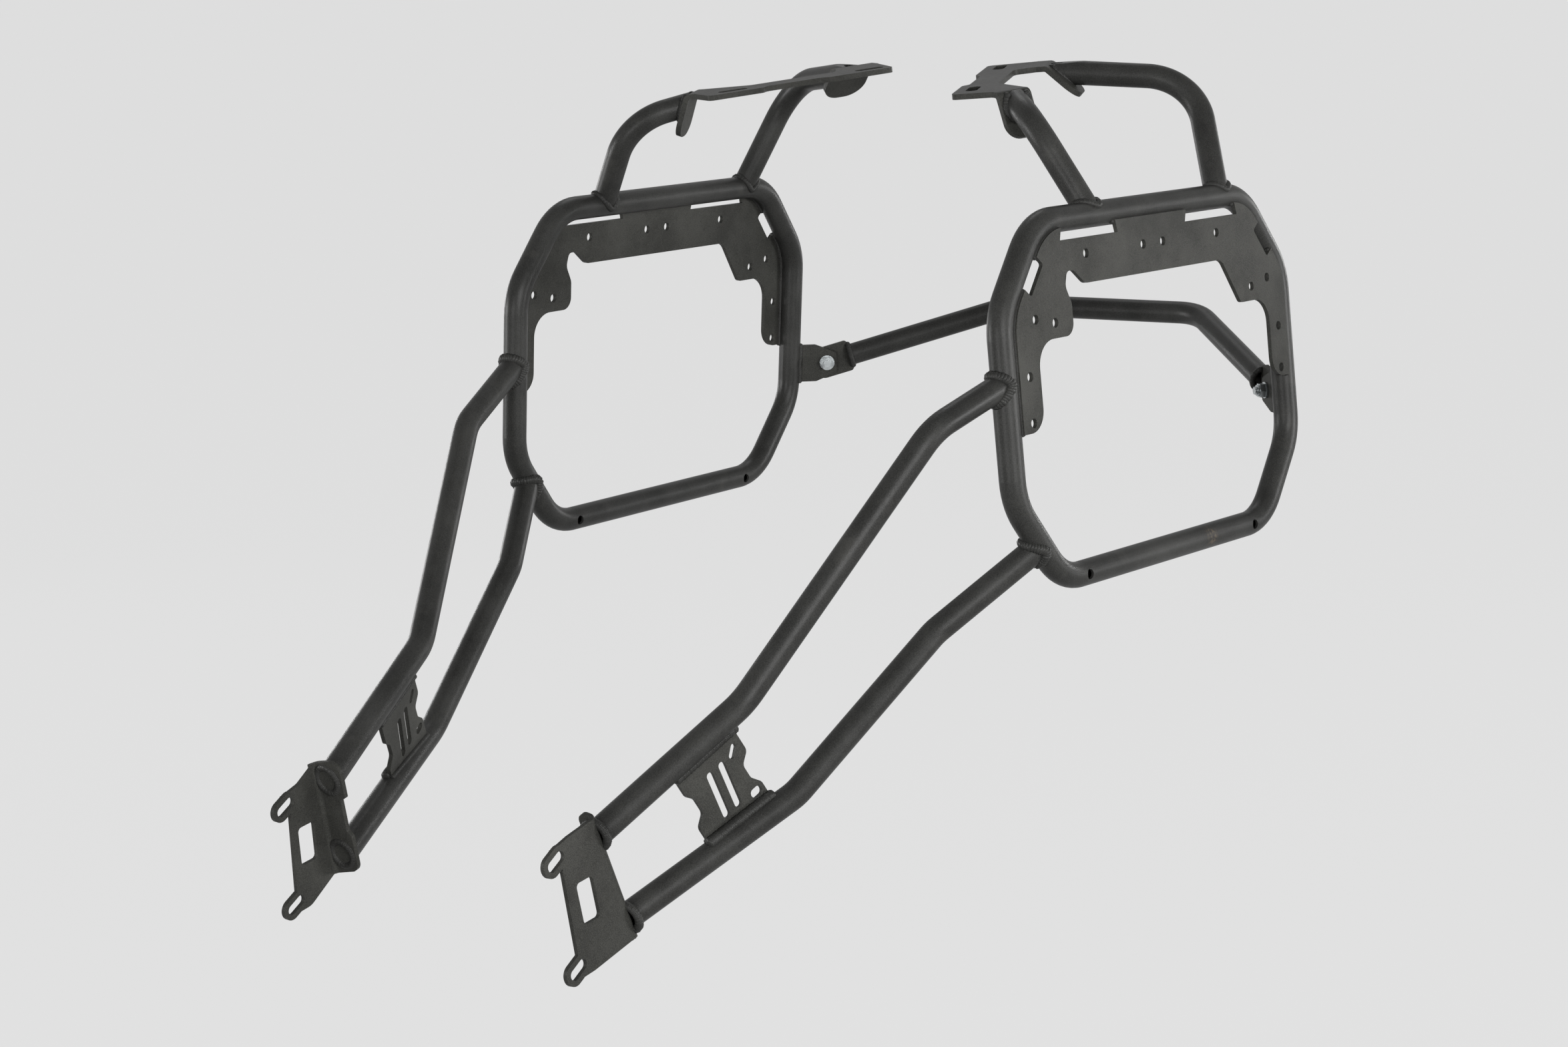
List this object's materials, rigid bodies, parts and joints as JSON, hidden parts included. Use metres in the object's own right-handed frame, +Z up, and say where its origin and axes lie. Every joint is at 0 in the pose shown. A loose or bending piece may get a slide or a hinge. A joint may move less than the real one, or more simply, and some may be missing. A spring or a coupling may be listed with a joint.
{
  "type": "pannier frame",
  "caption": "Pair of bent-tube side frames with sheet pannier plates, folded mounting brackets and a bolted rear cross brace, to carry motorcycle panniers.",
  "frame": {"origin": "under the middle of the whole, at the height of its lowest point", "axes": "+X to the machine's left, +Y to its rear, +Z up; the centre plane of the machine is X = 0"},
  "size_m": [0.4984, 0.8484, 0.5354],
  "materials": {
    "powder_coat": "matte black powder coat with a fine texture on steel",
    "zinc": "bright zinc plate"
  },
  "bodies": {
    "root": {"brace_tube": "powder_coat", "hoop_left": "powder_coat", "hoop_right": "powder_coat", "pannier_plate_left": "powder_coat", "pannier_plate_right": "powder_coat", "front_stay_left": "powder_coat", "front_stay_right": "powder_coat", "rear_stay_left": "powder_coat", "rear_stay_right": "powder_coat", "upper_arm_left": "powder_coat", "upper_arm_right": "powder_coat", "lower_arm_left": "powder_coat", "lower_arm_right": "powder_coat", "arm_gusset_left": "powder_coat", "arm_gusset_right": "powder_coat", "footrest_bracket_left": "powder_coat", "footrest_bracket_right": "powder_coat", "top_plate_left": "powder_coat", "top_plate_right": "powder_coat", "brace_lug_left": "powder_coat", "brace_lug_right": "powder_coat", "brace_end_plate_left": "powder_coat", "brace_end_plate_right": "powder_coat", "brace_bolts": "zinc", "brace_washers": "zinc", "brace_nuts": "zinc"}
  },
  "joints": []
}
